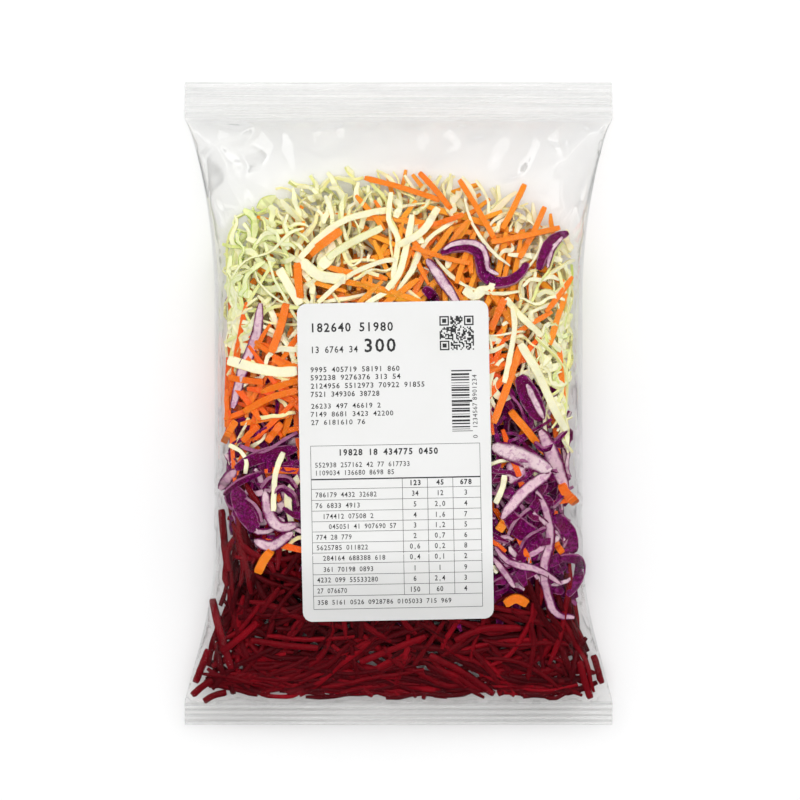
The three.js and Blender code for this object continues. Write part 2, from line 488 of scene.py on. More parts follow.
def profile_of(kind, count):
    """How a shred's width changes along it."""
    at = np.linspace(0, 1, count)
    ends = np.minimum(1, 0.6 + 3 * np.minimum(at, 1 - at))
    if kind in LEAFY:
        swell = 1 + rng.uniform(-0.4, 0.5) * np.sin(math.pi * (at + rng.uniform(-0.3, 0.3)))
        return ends * swell * (1 + 0.18 * np.sin(2 * math.pi * (at * rng.uniform(1, 2.5) + rng.random())))
    return ends * (1 + 0.05 * np.sin(2 * math.pi * (2 * at + rng.random())))


# Where the white cabbage is green: middle, reach across and along the bag, and strength
GREEN_SPOTS = [(-72, 68, 20, 30, 0.85), (80, 28, 12, 30, 0.7), (-20, 98, 40, 12, 0.5)]


def greenness(x, y):
    """How green a white cabbage shred is, by place."""
    return min(1.0, sum(strength * math.exp(-((x - u) / across) ** 2 - ((y - v) / along) ** 2)
                        for u, v, across, along, strength in GREEN_SPOTS))


def pick_cell(weights):
    i, j = divmod(int(np.searchsorted(weights, rng.random() * weights[-1])), len(GRID_Y))
    return GRID_X[min(i, len(GRID_X) - 1)], GRID_Y[j]


def drawn_section(kind):
    """A random shred's widths, thickness and roll along it, and its share of the full length."""
    facts = KINDS[kind]
    wide = rng.uniform(*facts["wide"])
    thick = rng.uniform(*facts["thick"])
    share = 1.0
    flake = kind in LEAFY and rng.random() < FLAKES
    if flake:
        share, wide, thick = FLAKE[0], wide * FLAKE[1], thick * FLAKE[2]
    roll = rng.normal(0, facts["roll"]) * 0.4
    if kind in LEAFY and not flake and rng.random() < ON_EDGE:
        roll += math.pi / 2
    at = np.linspace(0, 1, facts["points"])
    turns = np.sin(2 * math.pi * (at * rng.uniform(0.4, 1.6) + rng.random()))
    roll = roll + facts["twist"] * rng.normal(0, 1) * turns
    return wide * profile_of(kind, facts["points"]), thick, roll, share


def drawn_tone(kind, x, y):
    """Where a random shred's colour lies between its kind's two colours."""
    tone = rng.random() ** 1.5
    if kind == "carrot":
        tone = 0.15 + (y - 10) / 90 + rng.normal(0, 0.2)
    if kind == "white_cabbage":
        tone = greenness(x, y) * rng.uniform(0.3, 1.4) + rng.normal(0, 0.08)
    return float(np.clip(tone, 0, 1))


def room_weights(zone, bare):
    """How likely each cell of a zone is to get the next shred, as a running sum."""
    room = np.clip(heap_limit - heap_top - 1.0, 0, None) ** 1.5
    if bare:
        room = (heap_top < heap_floor + BARE).astype(float)
    return np.cumsum((room * zone).ravel())


def fill_heap(rounds, zone, bare=False, firm=0.0):
    """Lays shreds where there is most room in a zone of cells, or where the film is bare."""
    for attempt in range(rounds):
        if attempt % 20 == 0:
            weights = room_weights(zone, bare)
            if weights[-1] < 1:
                return
        x, y = pick_cell(weights)
        kind = kind_at(x, y, bare)
        widths, thick, roll, share = drawn_section(kind)
        size = np.max([turned_size(widths.max(), thick, angle) for angle in roll], axis=0)
        for _ in range(TRIES[kind]):
            laid = lay_best(kind, loose_paths(kind, x, y, share), *size, PRESS[kind] + firm)
            if laid is not None:
                path, z = laid
                keep(kind, path, z, widths, np.full(len(path), thick), roll, drawn_tone(kind, x, y))
                break


# Single shreds that stand out and are laid last: points in the view, width, thickness, roll and tone
SINGLE = {
    "carrot": [
        ([(365, 177), (402, 187), (440, 200)], 2.5, 2.2, 0.1, 0.5),
        ([(420, 172), (436, 190), (450, 208)], 2.6, 2.2, 0.1, 0.4),
        ([(460, 180), (478, 210), (495, 241)], 2.5, 2.2, 0.0, 0.5),
        ([(525, 184), (514, 207), (502, 230)], 2.6, 2.2, 0.1, 0.6),
        ([(545, 207), (533, 233), (519, 259)], 2.6, 2.2, 0.0, 0.5),
        ([(559, 228), (526, 236), (491, 243)], 2.5, 2.2, 0.1, 0.5),
        ([(412, 248), (440, 257), (469, 264)], 2.3, 2.0, 0.0, 0.5),
        ([(418, 228), (440, 223), (463, 215)], 2.4, 2.1, 0.1, 0.3),
        ([(304, 259), (322, 245), (341, 231)], 3.8, 2.2, 0.1, 0.5),
        ([(298, 264), (299, 281), (301, 299)], 3.4, 2.0, 0.2, 0.4),
        ([(287, 304), (281, 328), (272, 353)], 3.6, 2.2, 0.1, 0.3),
        ([(230, 377), (246, 380), (264, 382)], 2.8, 2.2, 0.2, 0.2),
        ([(245, 411), (270, 398), (298, 390)], 3.0, 2.2, 0.1, 0.3),
        ([(224, 441), (230, 431), (236, 421)], 3.2, 2.2, 0.1, 0.4),
        ([(243, 441), (250, 434), (258, 426)], 2.8, 2.2, 0.1, 0.1),
        ([(268, 441), (274, 433), (281, 424)], 3.2, 2.2, 0.1, 0.2),
        ([(520, 346), (508, 383), (493, 423)], 3.4, 2.2, 0.0, 0.4),
        ([(504, 299), (497, 315), (490, 331)], 3.2, 2.2, 0.0, 0.3),
        ([(510, 411), (527, 431), (545, 453)], 3.4, 2.2, 0.1, 0.4),
        ([(258, 572), (264, 560), (272, 549)], 4.0, 2.2, 0.2, 0.5),
        ([(498, 530), (502, 524), (506, 517)], 4.0, 2.2, 0.2, 0.6),
        ([(505, 603), (516, 598), (527, 603)], 4.2, 2.2, 0.2, 0.4),
        ([(561, 484), (566, 493), (575, 502)], 4.2, 2.2, 0.2, 0.2),
        ([(556, 543), (559, 548), (562, 552)], 2.8, 2.0, 0.2, 0.2),
    ],
    "white_cabbage": [
        ([(300, 259), (320, 238), (344, 221), (372, 213), (392, 210)], 3.0, 1.6, 0.1, 0.05),
        ([(280, 270), (290, 287), (301, 305)], 4.2, 1.6, 0.1, 0.02),
        ([(328, 259), (350, 244), (382, 228)], 3.4, 1.5, 0.2, 0.35),
        ([(391, 193), (389, 220), (398, 240), (394, 272), (391, 288), (366, 305)], 2.5, 1.4, 0.1, 0.1),
        ([(412, 216), (408, 240), (400, 272), (387, 290)], 3.0, 1.4, 0.1, 0.05),
        ([(318, 303), (350, 276), (380, 263), (396, 260)], 2.2, 1.4, 0.1, 0.02),
        ([(302, 262), (320, 276), (346, 280)], 5.0, 1.6, 0.1, 0.05),
        ([(229, 360), (255, 368), (280, 372), (298, 371)], 4.8, 1.8, 0.0, 0.0),
        ([(230, 445), (242, 452), (247, 462), (246, 473)], 1.9, 1.3, 0.1, 0.0),
        ([(284, 452), (276, 475), (274, 511)], 2.6, 1.6, 0.1, 0.0),
        ([(505, 299), (522, 318), (541, 336)], 3.0, 1.6, 0.1, 0.08),
        ([(520, 344), (538, 374), (552, 405), (566, 430)], 3.8, 1.7, 0.1, 0.05),
        ([(512, 308), (514, 330), (504, 383)], 2.5, 1.4, 0.1, 0.02),
        ([(504, 475), (502, 487), (495, 503)], 2.6, 1.5, 0.1, 0.0),
        ([(398, 246), (422, 232), (438, 208)], 3.4, 1.4, 0.1, 0.02),
    ],
    "red_cabbage": [
        ([(441, 254), (453, 249), (467, 248), (478, 253), (481, 264), (484, 276), (495, 283), (510, 281),
          (521, 273), (527, 264)], 5.6, 1.6, -0.35, 0.4),
        ([(443, 250), (455, 244), (470, 243), (482, 248), (486, 258), (488, 269), (498, 275)],
         3.0, 3.0, 0.1, 0.9),
        ([(568, 233), (554, 239), (545, 252), (538, 270)], 5.0, 1.8, 0.3, 0.3),
        ([(562, 238), (552, 250), (547, 268)], 2.6, 1.6, 0.2, 0.85),
        ([(423, 288), (430, 294), (437, 301)], 4.6, 1.6, 0.2, 0.2),
        ([(427, 260), (442, 281), (458, 304)], 5.0, 1.8, 0.1, 0.95),
        ([(261, 304), (258, 330), (252, 350), (244, 368), (239, 387), (233, 408)], 5.2, 1.6, 0.1, 0.8),
        ([(236, 488), (244, 508), (257, 530)], 9.0, 1.4, 0.2, 0.2),
        ([(236, 468), (262, 456), (297, 448)], 6.4, 1.4, 0.3, 0.3),
        ([(506, 512), (520, 528), (541, 541)], 9.5, 1.4, 0.3, 0.15),
        ([(553, 516), (566, 530), (574, 552)], 8.0, 1.3, -0.3, 0.25),
        ([(519, 376), (529, 396), (541, 420)], 9.6, 1.6, 0.2, 0.45),
        ([(527, 384), (534, 400), (543, 418)], 3.6, 1.8, 0.2, 0.9),
        ([(492, 446), (520, 456), (550, 470)], 9.0, 1.4, 0.1, 0.98),
        ([(540, 430), (552, 455), (566, 490)], 7.0, 1.8, 0.2, 0.7),
        ([(534, 442), (546, 449), (566, 431)], 2.2, 1.8, 0.6, 0.2),
        ([(550, 472), (525, 490), (501, 518)], 5.6, 1.8, 0.1, 0.75),
        ([(536, 490), (546, 510), (550, 540), (544, 566), (547, 592), (556, 613), (574, 617)],
         4.6, 1.8, 0.3, 0.6),
        ([(495, 546), (509, 561), (540, 570), (560, 583)], 3.4, 1.8, 0.2, 0.6),
        ([(492, 556), (503, 570), (514, 586)], 3.4, 1.8, 0.2, 0.7),
        ([(560, 557), (578, 560), (580, 574), (568, 596)], 5.0, 1.5, 0.3, 0.15),
        ([(520, 548), (530, 536), (545, 528)], 3.0, 1.6, 0.9, 0.4),
        ([(508, 535), (517, 520), (530, 508)], 2.8, 1.6, 1.0, 0.5),
        ([(219, 489), (228, 478), (236, 470)], 5.0, 1.4, 0.3, 0.6),
        ([(224, 494), (240, 482), (262, 472)], 2.8, 1.6, 0.5, 0.1),
        ([(266, 492), (269, 512), (280, 526), (298, 524)], 5.6, 1.8, 0.2, 0.85),
        ([(262, 488), (272, 478), (288, 478), (297, 488)], 3.0, 1.8, 1.0, 0.3),
        ([(272, 498), (281, 488), (293, 494), (298, 506)], 2.8, 1.8, 0.9, 0.4),
        ([(256, 540), (272, 545), (293, 532)], 5.4, 1.8, 0.2, 0.85),
        ([(246, 498), (256, 508), (262, 522)], 3.0, 1.6, 0.9, 0.5),
        ([(240, 446), (262, 452), (285, 440), (298, 432)], 3.6, 1.6, 1.4, 0.2),
    ],
    "beetroot": [
        ([(221, 510), (224, 540), (229, 571)], 3.0, 2.4, 0.2, 0.6),
        ([(212, 600), (220, 632), (231, 668)], 3.2, 2.4, 0.2, 0.7),
        ([(195, 683), (201, 668), (208, 650)], 3.0, 2.2, 0.2, 0.6),
        ([(192, 696), (201, 688), (212, 680)], 2.8, 2.2, 0.2, 0.5),
        ([(203, 702), (214, 696), (226, 693)], 2.6, 2.2, 0.2, 0.4),
        ([(580, 662), (585, 681), (591, 699)], 3.0, 2.2, 0.2, 0.6),
        ([(594, 656), (598, 669), (602, 683)], 2.8, 2.2, 0.2, 0.5),
        ([(258, 622), (238, 640), (222, 652)], 3.0, 2.2, 0.2, 0.9),
        ([(455, 640), (484, 628), (520, 628)], 3.0, 2.2, 0.2, 0.8),
        ([(360, 662), (390, 650), (426, 636)], 2.9, 2.2, 0.2, 0.8),
        ([(430, 655), (462, 672), (494, 695)], 2.9, 2.2, 0.2, 0.7),
        ([(250, 640), (285, 645), (318, 648)], 2.8, 2.2, 0.2, 0.6),
    ],
}


def smooth_path(points, count):
    """A smooth path through points, as evenly spaced points."""
    points = np.asarray(points, float)
    ends = np.vstack([2 * points[0] - points[1], points, 2 * points[-1] - points[-2]])
    pieces = []
    for k in range(len(points) - 1):
        a, b, c, d = ends[k:k + 4]
        t = np.linspace(0, 1, 12, endpoint=False)[:, None]
        pieces.append(0.5 * (2 * b + (c - a) * t + (2 * a - 5 * b + 4 * c - d) * t ** 2
                             + (3 * b - a - 3 * c + d) * t ** 3))
    dense = np.vstack(pieces + [points[-1:]])
    far = lengths_along(dense)
    at = np.linspace(0, far[-1], count)
    return np.stack([np.interp(at, far, dense[:, 0]), np.interp(at, far, dense[:, 1])], axis=1)


def single_path(points):
    """The path of a single shred, in mm, from its points in the view."""
    return smooth_path([photo(*p) for p in points], 7 + 3 * len(points))


def clear_way():
    """Keeps room under the film for the single shreds."""
    for kind in SINGLE:
        for points, wide, thick, roll, _ in SINGLE[kind]:
            wide, tall = turned_size(wide, thick, roll)
            i, j, _ = rest_on_heap(kind, single_path(points)[None], wide, 0.5)
            room = np.zeros(heap_limit.shape)
            room[i.ravel(), j.ravel()] = tall * ROOM_SHARE
            heap_limit[:] -= room


def lay_single():
    """Lays the single shreds on the heap."""
    for kind in ("beetroot", "carrot", "red_cabbage", "white_cabbage"):
        for points, wide, thick, roll, tone in SINGLE[kind]:
            path = single_path(points)
            z = lay_here(kind, path, *turned_size(wide, thick, roll))
            at = np.linspace(0, 1, len(path))
            shape = np.minimum(1, 0.8 + 3 * np.minimum(at, 1 - at))
            if kind == "red_cabbage":
                shape = 0.35 + 0.65 * np.sin(math.pi * at) ** 0.5
            keep(kind, path, z, wide * shape, np.full(len(path), thick), np.full(len(path), roll), tone)


clear_way()
fill_heap(1300, allowed, bare=True)
fill_heap(6300, allowed)
fill_heap(1200, allowed & (GRID_Y > 0)[None, :])
fill_heap(700, allowed & (GRID_Y < LYING_BELOW)[None, :])
fill_heap(1600, allowed & (GRID_Y < 60)[None, :], bare=True, firm=2.5)
lay_single()


def unit(vectors):
    return vectors / np.linalg.norm(vectors, axis=1)[:, None]


def shred_paths(kind):
    """The mesh of lines that the shreds of one kind follow, with their widths and directions."""
    noted = {name: [] for name in ("centre", "side", "rise", "outward", "wide", "thick", "tone")}
    edges = []
    start = 0
    for path, wide, thick, roll, tone in shreds[kind]:
        count = len(path)
        run = unit(np.gradient(path, axis=0))
        side = unit(np.cross([0, 0, 1], run))
        rise = np.cross(run, side)
        turn = np.broadcast_to(roll, count)[:, None]
        outward = np.zeros((count, 3))
        outward[0] = -run[0] * MM
        outward[-1] = run[-1] * MM
        facts = {"centre": path * MM, "side": side * np.cos(turn) + rise * np.sin(turn),
                 "rise": rise * np.cos(turn) - side * np.sin(turn), "outward": outward,
                 "wide": wide * MM, "thick": thick * MM, "tone": np.full(count, tone)}
        for name, values in facts.items():
            noted[name].append(values)
        edges += [(start + k, start + k + 1) for k in range(count - 1)]
        start += count
    mesh = mesh_of(kind + "_paths", np.concatenate(noted["centre"]), edges)
    for name, values in noted.items():
        store(mesh, name, np.concatenate(values))
    return mesh


def shred_tree():
    """Sweeps a four-sided bar along every path and roughens it."""
    tree, graph, entry = new_tree("shreds", [
        ("Unevenness", "Float", 0.0002), ("Grain", "Float", 400.0), ("Corner Angle", "Float", 0.6),
        ("Seed", "Float", 1.0), ("Finish", "Material", None)])

    def named(name, kind="FLOAT"):
        return graph.add("GeometryNodeInputNamedAttribute", {"data_type": kind}, {"Name": name})

    curves = graph.add("GeometryNodeMeshToCurve", {}, {"Mesh": entry["Source"]})
    square = graph.add("GeometryNodeCurvePrimitiveQuadrilateral", {}, {"Width": 2.0, "Height": 2.0})
    place = graph.add("GeometryNodeInputPosition")
    corners = graph.add("GeometryNodeStoreNamedAttribute", {"data_type": "FLOAT_VECTOR", "domain": "POINT"},
                        {"Geometry": square, "Name": "corner", "Value": place})
    bars = graph.add("GeometryNodeCurveToMesh", {},
                     {"Curve": curves, "Profile Curve": corners, "Fill Caps": True})
    corner = named("corner", "FLOAT_VECTOR")
    split = graph.add("ShaderNodeSeparateXYZ", {}, {0: corner})
    split_y = Socket(graph, split.source.node.outputs[1])
    centre = named("centre", "FLOAT_VECTOR")
    across = graph.scaled(named("side", "FLOAT_VECTOR"), split * named("wide") * 0.5)
    upward = graph.scaled(named("rise", "FLOAT_VECTOR"), split_y * named("thick") * 0.5)
    section = graph.vector("ADD", across, upward)
    spot = graph.vector("ADD", centre, section)
    noise = graph.add("ShaderNodeTexNoise", {"noise_dimensions": "4D"},
                      {"Vector": spot, "W": entry["Seed"], "Scale": entry["Grain"], "Detail": 1.0}, "Color")
    shake = graph.scaled(graph.vector("SUBTRACT", noise, (0.5, 0.5, 0.5)), entry["Unevenness"] * 2.0)
    moved = graph.add("GeometryNodeSetPosition", {},
                      {"Geometry": bars, "Position": graph.vector("ADD", spot, shake)})
    away = graph.vector("ADD", graph.vector("SUBTRACT", place, centre), named("outward", "FLOAT_VECTOR"))
    facing = graph.vector("DOT_PRODUCT", graph.add("GeometryNodeInputNormal"), away, out="Value")
    turned = graph.add("GeometryNodeFlipFaces", {}, {"Mesh": moved, "Selection": facing < 0.0})
    smooth = graph.add("GeometryNodeSetShadeSmooth", {"domain": "FACE"},
                       {"Geometry": turned, "Shade Smooth": True})
    angle = graph.add("GeometryNodeInputMeshEdgeAngle")
    sharp = graph.add("GeometryNodeSetShadeSmooth", {"domain": "EDGE"}, {
        "Geometry": smooth, "Selection": angle > entry["Corner Angle"], "Shade Smooth": False})
    across_note = graph.add("GeometryNodeStoreNamedAttribute", {"data_type": "FLOAT", "domain": "POINT"},
                            {"Geometry": sharp, "Name": "across", "Value": split})
    real = graph.add("GeometryNodeRealizeInstances", {}, {"Geometry": across_note})
    done = graph.add("GeometryNodeSetMaterial", {}, {"Geometry": real, "Material": entry["Finish"]})
    graph.add("NodeGroupOutput", {}, {"Result": done})
    return tree


# Finishes

def juicy(graph, base, roughness, height, subsurface, reach, shine=0.18):
    """Moist cut vegetable: soft light under the skin and a thin wet film over it."""
    return graph.add("ShaderNodeBsdfPrincipled", {}, {
        "Base Color": base, "Roughness": roughness, "Normal": bump(graph, height, 0.0004),
        "Subsurface Weight": subsurface, "Subsurface Radius": reach, "Subsurface Scale": 0.002,
        "Specular IOR Level": shine, "Coat Weight": shine / 3, "Coat Roughness": 0.12})


def carrot_surface(graph):
    place = object_place(graph)
    tone = graph.attribute("tone")
    grain = graph.noise(place, 900, 4, 0.6)
    cloud = graph.noise(place, 60, 2)
    mixed = graph.blend(tone, colour(252, 88, 6), colour(255, 168, 38))
    mixed = graph.blend(graph.step(cloud, 0.35, 0.7) * 0.4, mixed, colour(254, 134, 14))
    mixed = graph.blend(graph.step(grain, 0.5, 0.8) * 0.35, mixed, colour(255, 196, 104))
    return juicy(graph, mixed, 0.34 + 0.16 * grain, grain, 0.3, (1.0, 0.4, 0.12))


def beetroot_surface(graph):
    place = object_place(graph)
    tone = graph.attribute("tone")
    grain = graph.noise(place, 800, 4, 0.6)
    cloud = graph.noise(place, 90, 2)
    mixed = graph.blend(tone, colour(62, 3, 9), colour(140, 8, 24))
    mixed = graph.blend(graph.step(cloud, 0.4, 0.7) * 0.6, mixed, colour(82, 3, 13))
    mixed = graph.blend(graph.step(grain, 0.55, 0.8) * 0.35, mixed, colour(152, 36, 54))
    return juicy(graph, mixed, 0.42 + 0.2 * grain, grain, 0.15, (1.0, 0.15, 0.15), 0.05)


def white_surface(graph):
    place = object_place(graph)
    tone = graph.attribute("tone")
    across = abs(graph.attribute("across"))
    grain = graph.noise(place, 700, 3, 0.55)
    cloud = graph.noise(place, 120, 2)
    flesh = graph.blend(tone, colour(255, 249, 214), colour(238, 246, 180))
    skin = graph.blend(tone, colour(255, 243, 182), colour(202, 228, 112))
    mixed = graph.blend(graph.step(across, 0.7, 0.98), flesh, skin)
    mixed = graph.blend(graph.step(cloud, 0.5, 0.8) * 0.35, mixed, colour(255, 236, 158))
    mixed = graph.blend(graph.step(grain, 0.55, 0.8) * 0.25, mixed, colour(255, 253, 228))
    return juicy(graph, mixed, 0.36 + 0.16 * grain, grain, 0.25, (1.0, 0.8, 0.4))


def red_surface(graph):
    """A low tone shows the purple skin with a pale rim, a high one the pale flesh with a purple rim."""
    place = object_place(graph)
    tone = graph.attribute("tone")
    across = abs(graph.attribute("across"))
    grain = graph.noise(place, 700, 3, 0.55)
    cloud = graph.noise(place, 160, 3)
    vein = graph.noise(place, 420, 4, 0.6, 0.4)
    ragged = across + 0.7 * (cloud - 0.5)
    flesh = graph.blend(tone, colour(192, 112, 160), colour(242, 218, 222))
    flesh = graph.blend(graph.step(vein, 0.48, 0.66) * 0.6, flesh, colour(172, 92, 154))
    flesh = graph.blend(graph.step(cloud, 0.45, 0.75) * 0.45, flesh, colour(146, 56, 128))
    skin = graph.blend(graph.step(grain, 0.4, 0.7), colour(82, 3, 60), colour(142, 16, 116))
    skin = graph.blend(graph.step(cloud, 0.35, 0.7) * 0.6, skin, colour(104, 6, 54))
    pale = graph.blend(graph.step(ragged, 0.5, 0.95), flesh, skin)
    dark = graph.blend(graph.step(ragged, 0.84, 1.05) * 0.6, skin, flesh)
    mixed = graph.blend(tone > 0.55, dark, pale)
    return juicy(graph, mixed, 0.34 + 0.16 * grain, grain, 0.15, (0.8, 0.3, 0.7), 0.06)


FINISHES = {
    "carrot": finish("carrot_flesh", carrot_surface),
    "beetroot": finish("beetroot_flesh", beetroot_surface),
    "white_cabbage": finish("white_cabbage_leaf", white_surface),
    "red_cabbage": finish("red_cabbage_leaf", red_surface),
}


UNEVEN_LEAF = 0.0005  # how far the surface of a shred strays, in metres
UNEVEN_ROOT = 0.0003
ROUND_CORNERS = 3.2  # edges that turn by less than this angle are smooth
CRISP_CORNERS = 0.6


def make_shreds():
    tree = shred_tree()
    for number, kind in enumerate(KINDS):
        made = run_tree(kind + "_shreds", tree, shred_paths(kind), {
            "Unevenness": UNEVEN_LEAF if kind in LEAFY else UNEVEN_ROOT, "Grain": 260.0,
            "Corner Angle": ROUND_CORNERS if kind == "beetroot" else CRISP_CORNERS,
            "Seed": float(number), "Finish": FINISHES[kind]})
        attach(made, "root")


make_shreds()


# The film

# Corners of the film's flat facets above the heap: place in the view, and height in mm over the smooth bag
FACETS = [
    (187, 119, 0.0), (204, 121, 0.4), (240, 132, 1.5), (279, 146, 2.2), (294, 143, 0.0), (318, 152, -0.5),
    (216, 142, 0.9), (241, 157, -1.6), (228, 165, 1.7), (247, 164, -1.2), (226, 181, 1.5), (243, 178, -1.0),
    (246, 211, 0.0), (205, 158, -1.4), (208, 202, 0.9), (220, 234, 0.0), (244, 215, 0.2), (262, 165, 1.5),
    (276, 192, 0.0), (300, 190, 0.0), (196, 150, 0.6), (207, 180, -0.6), (302, 131, -0.4), (323, 132, 1.2),
    (321, 161, 0.7), (335, 131, 1.5), (332, 171, 0.0), (348, 157, 0.4), (341, 142, -1.1), (358, 133, -0.4),
    (372, 131, 0.9), (386, 132, -0.5), (378, 143, 0.8), (394, 150, -0.5), (410, 134, 0.5), (420, 158, -0.4),
    (440, 134, -0.7), (457, 132, 1.0), (473, 134, -0.6), (466, 146, 0.9), (436, 165, 0.4), (360, 168, 0.0),
    (608, 119, 0.0), (587, 135, 1.1), (563, 141, -1.5), (565, 160, 1.7), (517, 174, -1.0), (523, 178, 1.0),
    (490, 186, 0.0), (525, 130, -0.7), (543, 138, 0.9), (513, 145, -0.9), (486, 172, 0.5), (599, 133, 0.5),
    (580, 195, -1.2), (590, 229, 1.0), (567, 216, -1.0), (583, 239, 0.6), (600, 150, -0.6), (560, 190, 0.4),
    (540, 195, 0.0), (500, 134, 0.4),
]
FOLD_HEIGHT = 1.3  # the heights above are multiplied by this
FOLDS_LOW = 60  # the folds end here, away from the top seal
FOLDS_HIGH = 130.5  # and here, just below it
FLAT_PLACES = [(-100, 140), (100, 140), (-100, 40), (100, 40)]  # past them there are none
CRUMPLE_STEP = 9.0  # distance between the corners of the small random facets
CRUMPLE = (0.1, 0.5)  # their height over the heap, and at the sides and ends
LOOSE_ACROSS = (62, 80)  # the film turns loose between these distances from the bag's middle line
LOOSE_ALONG = (95, 115)  # and from its middle
CALM_LABEL = (3, 11)  # and between these distances from the label
NEAREST = 0.45  # the film stays this far above the shreds
BACK_GAP = 0.4  # and its front this far above its back
SEAL_FADE = 3.0  # length over which the folds die out before a seal
SEALED = (-1, 0.5)  # the film turns milky between these distances past a seal's inner edge
HARDLY_FILLED = (1, 2)  # it counts as empty over less than the first of these, and as full over the second
NOTHING = -100  # the height of the heap where there is none


def facet_tree(corners):
    """A surface of flat triangles through corners in mm, to look heights up in."""
    flat = [Vector(corner[:2]) for corner in corners]
    places, _, faces, sources, _, _ = delaunay_2d_cdt(flat, [], [], 0, 0.001)
    heights_of = [corners[source[0]][2] for source in sources]
    return BVHTree.FromPolygons([(p.x, p.y, h) for p, h in zip(places, heights_of)], faces)


def height_on(tree, x, y):
    hit = tree.ray_cast(Vector((x, y, 100)), Vector((0, 0, -1)))[0]
    return hit.z if hit is not None else 0.0


def fold_facets():
    """The folds that run from the top seal and its corners to the heap."""
    corners = [(*photo(px, py), height) for px, py, height in FACETS]
    rim = [(x, FOLDS_HIGH) for x in range(-95, 100, 10)] + [(x, FOLDS_LOW) for x in range(-80, 90, 20)]
    return facet_tree(corners + [(x, y, 0.0) for x, y in FLAT_PLACES + rim])


def crumple_facets():
    """Small uneven facets all over."""
    film_rng = np.random.default_rng(31)
    corners = []
    for x in np.arange(-108, 109, CRUMPLE_STEP):
        for y in np.arange(-153, 160, CRUMPLE_STEP):
            shift = film_rng.uniform(-0.35, 0.35, 2) * CRUMPLE_STEP
            corners.append((x + shift[0], y + shift[1], film_rng.normal()))
    return facet_tree(corners)


def ramp(value, low, high):
    """0 where value is below low, 1 above high, even between."""
    return np.clip((value - low) / (high - low), 0, 1)


def label_share(x, y):
    """1 under the label, which holds the film smooth, and 0 well away from it."""
    beside = abs(x - LABEL_CENTRE[0]) - LABEL_SIZE[0] / 2
    beyond = abs(y - LABEL_CENTRE[1]) - LABEL_SIZE[1] / 2
    return 1 - ramp(np.maximum(beside, beyond), *CALM_LABEL)


def numbers_of(elements, field):
    values = np.empty(len(elements) * 3)
    elements.foreach_get(field, values)
    return values.reshape(-1, 3)


def shred_ceiling():
    """The highest point of the shreds in each cell, or nothing."""
    ceiling = np.full(heap_top.shape, float(NOTHING))
    for kind in KINDS:
        mesh = bpy.data.objects[kind + "_shreds"].data
        points = numbers_of(mesh.vertices, "co") / MM
        i, j = cells(points[:, :2])
        np.maximum.at(ceiling, (i, j), points[:, 2])
    ceiling = np.maximum(ceiling, np.where(heap_top > skin_bottom + 2, heap_top, NOTHING))
    padded = np.pad(ceiling, 1, "edge")
    wide, tall = ceiling.shape
    return np.max([padded[a:a + wide, b:b + tall] for a in range(3) for b in range(3)], axis=0)


def folded(mesh):
    """Moves the front of the film into its folds, clear of the shreds and the back."""
    folds, crumple, ceiling = fold_facets(), crumple_facets(), shred_ceiling()
    points = numbers_of(mesh.vertices, "co") / MM
    front = np.clip(numbers_of(mesh.vertex_normals, "vector")[:, 2] * 2.5, 0, 1)
    x, y, _ = points.T
    into_seal = np.maximum(y - TOP_INNER, BOTTOM_INNER - y)
    free = (1 - label_share(x, y)) * ramp(-into_seal, 0, SEAL_FADE)
    loose = np.maximum(ramp(abs(x), *LOOSE_ACROSS), ramp(abs(y), *LOOSE_ALONG))
    rough = CRUMPLE[0] + (CRUMPLE[1] - CRUMPLE[0]) * loose
    lift = np.zeros(len(points))
    for k in np.flatnonzero(front * free):
        lift[k] = FOLD_HEIGHT * height_on(folds, x[k], y[k]) + rough[k] * height_on(crumple, x[k], y[k])
    i, j = cells(points[:, :2])
    lowest = np.maximum(ceiling[i, j] + NEAREST * free, skin_bottom_filled[i, j] + BACK_GAP)
    points[:, 2] += lift * front * free
    points[:, 2] = np.where((front > 0.5) & (free > 0), np.maximum(points[:, 2], lowest), points[:, 2])
    mesh.vertices.foreach_set("co", (points * MM).ravel())
    mesh.update()
    # The two attributes that the film's finish reads: 1 in the seals, and 1 where nothing lies under the film
    store(mesh, "sealed", ramp(into_seal, *SEALED))
    store(mesh, "empty", 1 - ramp(ceiling[i, j] - skin_bottom_filled[i, j], *HARDLY_FILLED))


def film_surface(graph):
    """Clear seen square on, glossy where it slants, and milky in the seals. It casts no shadow."""
    place = object_place(graph)
    fine = graph.noise(place, 60, 3, 0.5)
    normal = bump(graph, fine, 0.00012)
    facing = graph.add("ShaderNodeLayerWeight", {}, {"Blend": 0.5, "Normal": normal}, "Facing")
    shine = 0.12 + 1.2 * graph.attribute("empty")
    lit = 1.0 - graph.add("ShaderNodeLightPath", out="Is Shadow Ray")
    clear = graph.add("ShaderNodeBsdfTransparent", {}, {"Color": (0.972, 0.972, 0.97, 1.0)})
    gloss = graph.add("ShaderNodeBsdfGlossy", {}, {"Roughness": 0.06, "Normal": normal})
    mirror = lit * (0.001 + shine * facing ** 1.1)
    film = graph.add("ShaderNodeMixShader", {}, {0: mirror, 1: clear, 2: gloss})
    lines = graph.noise(graph.vector("MULTIPLY", place, (0.02, 1.0, 0.0)), 420, 2, 0.6)
    milky = graph.attribute("sealed") * (0.05 + 0.26 * graph.step(lines, 0.35, 0.65))
    milk = graph.add("ShaderNodeBsdfDiffuse", {}, {"Color": (0.64, 0.64, 0.635, 1.0)})
    return graph.add("ShaderNodeMixShader", {}, {0: lit * milky, 1: film, 2: milk})


def divided(mesh, levels):
    """The mesh with each face cut into four, once or more, and rounded."""
    holder = link("divide", mesh)
    finer = holder.modifiers.new("finer", "SUBSURF")
    finer.levels = levels
    return evaluated(holder)


